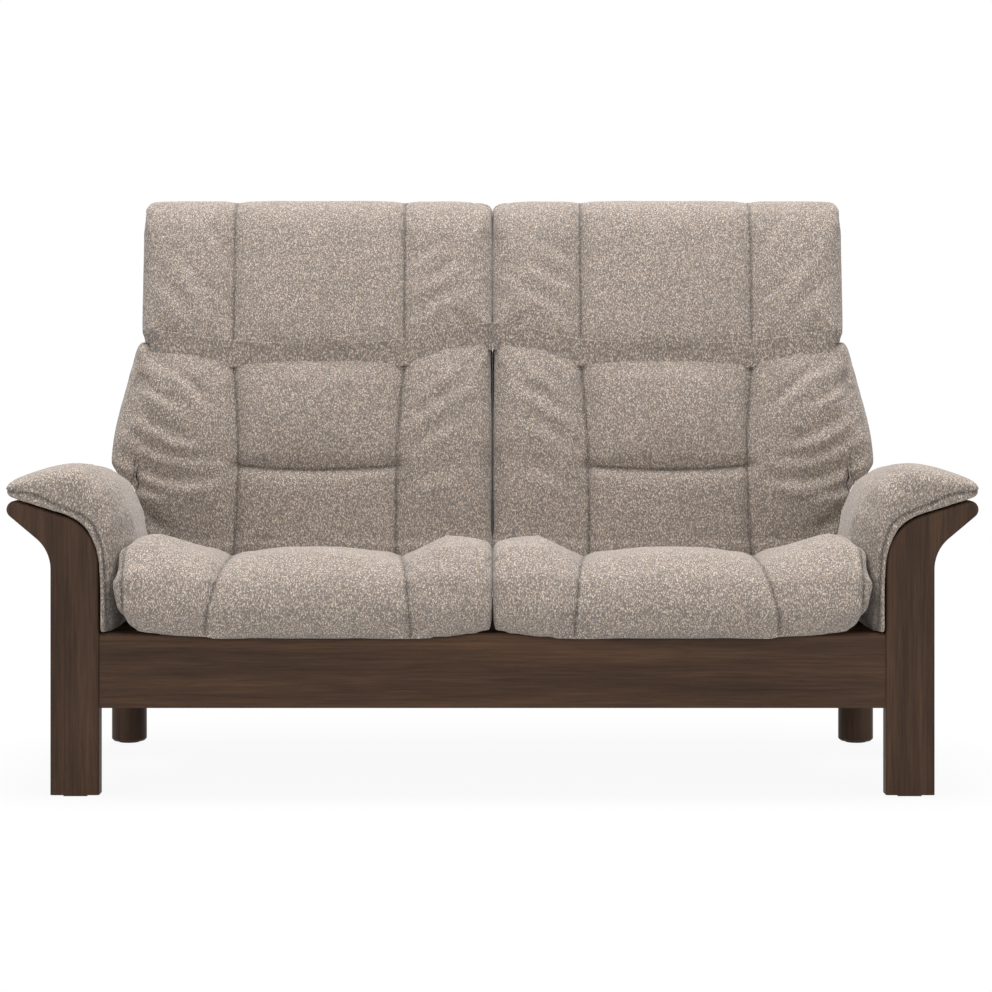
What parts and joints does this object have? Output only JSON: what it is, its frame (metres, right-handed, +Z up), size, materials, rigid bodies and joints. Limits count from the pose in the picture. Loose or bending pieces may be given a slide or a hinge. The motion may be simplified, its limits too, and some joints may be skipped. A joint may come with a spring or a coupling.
{
  "type": "high back settee",
  "caption": "Upholstered two-seat high back settee on a dark wooden base with swept front posts; each seat glides, reclines and tilts its headrest.",
  "frame": {"origin": "on the floor, under the centre of the bounding box", "axes": "+X to the right as seen from the front, +Y from front to back, +Z up"},
  "size_m": [1.647, 0.8138, 1.049],
  "materials": {
    "upholstery_fabric": "boucle weave of beige, brown, cream and blue-grey flecks",
    "upholstery_back": "the same boucle weave, stretched flat over the shell",
    "stained_wood": "dark walnut stain, satin lacquer",
    "frame_wood": "stained hardwood, matt",
    "plywood": "bare beech plywood",
    "lining_cloth": "smooth grey woven lining",
    "glide_plastic": "black nylon",
    "webbing": "black elastic webbing",
    "zinc_steel": "zinc plated",
    "spring_steel": "oiled spring steel",
    "frame_steel": "black powder coat"
  },
  "bodies": {
    "base": {"floor_glides": "glide_plastic", "front_corner_brackets": "frame_steel", "front_cross_beam": "stained_wood", "front_rail": "stained_wood", "rear_cross_beam": "frame_wood", "rear_rail": "frame_wood", "leg_bolts": "zinc_steel", "rear_corner_blocks": "frame_wood", "left_arm_pad": "upholstery_fabric", "left_arm_ribs": "plywood", "left_arm_shell": "plywood", "left_arm_side_panel": "upholstery_back", "left_arm_sill": "frame_wood", "left_front_post": "stained_wood", "left_rear_leg": "stained_wood", "left_side_rail": "frame_wood", "left_glide_tracks": "frame_steel", "right_arm_pad": "upholstery_fabric", "right_arm_ribs": "plywood", "right_arm_shell": "plywood", "right_arm_side_panel": "upholstery_back", "right_arm_sill": "frame_wood", "right_front_post": "stained_wood", "right_rear_leg": "stained_wood", "right_side_rail": "frame_wood", "right_glide_tracks": "frame_steel"},
    "left_seat": {"left_seat_cushion": "upholstery_fabric", "left_seat_frame": "frame_steel", "left_seat_springs": "spring_steel", "left_seat_lining": "lining_cloth", "left_glide_shoes": "glide_plastic", "left_recline_brackets": "frame_steel", "left_recline_pins": "zinc_steel"},
    "left_back": {"left_back_cushion": "upholstery_fabric", "left_back_frame": "frame_steel", "left_back_shell": "upholstery_back", "left_back_webbing": "webbing"},
    "left_head": {"left_head_cushion": "upholstery_fabric", "left_head_frame": "frame_steel", "left_head_shell": "upholstery_back", "left_head_pivot_pins": "zinc_steel"},
    "right_seat": {"right_seat_cushion": "upholstery_fabric", "right_seat_frame": "frame_steel", "right_seat_springs": "spring_steel", "right_seat_lining": "lining_cloth", "right_glide_shoes": "glide_plastic", "right_recline_brackets": "frame_steel", "right_recline_pins": "zinc_steel"},
    "right_back": {"right_back_cushion": "upholstery_fabric", "right_back_frame": "frame_steel", "right_back_shell": "upholstery_back", "right_back_webbing": "webbing"},
    "right_head": {"right_head_cushion": "upholstery_fabric", "right_head_frame": "frame_steel", "right_head_shell": "upholstery_back", "right_head_pivot_pins": "zinc_steel"}
  },
  "joints": [
    {"name": "left_seat_glide", "type": "slide", "parent": "base", "child": "left_seat", "axis": [0, -0.9945, 0.1045], "range_m": [0, 0.05]},
    {"name": "left_back_recline", "type": "hinge", "parent": "left_seat", "child": "left_back", "pos_m": [-0.315, 0.115, 0.3], "axis": [-1, 0, 0], "range_deg": [0, 18]},
    {"name": "left_head_tilt", "type": "hinge", "parent": "left_back", "child": "left_head", "pos_m": [-0.315, 0.2064, 0.7702], "axis": [1, 0, 0], "range_deg": [0, 12]},
    {"name": "right_seat_glide", "type": "slide", "parent": "base", "child": "right_seat", "axis": [0, -0.9945, 0.1045], "range_m": [0, 0.05]},
    {"name": "right_back_recline", "type": "hinge", "parent": "right_seat", "child": "right_back", "pos_m": [0.315, 0.115, 0.3], "axis": [-1, 0, 0], "range_deg": [0, 18]},
    {"name": "right_head_tilt", "type": "hinge", "parent": "right_back", "child": "right_head", "pos_m": [0.315, 0.2064, 0.7702], "axis": [1, 0, 0], "range_deg": [0, 12]}
  ],
  "couplings": [
    {"joint": "left_seat_glide", "follows": "left_back_recline", "m_per_rad": 0.159},
    {"joint": "left_head_tilt", "follows": "left_back_recline", "ratio": 0.666},
    {"joint": "right_seat_glide", "follows": "right_back_recline", "m_per_rad": 0.159},
    {"joint": "right_head_tilt", "follows": "right_back_recline", "ratio": 0.666}
  ]
}
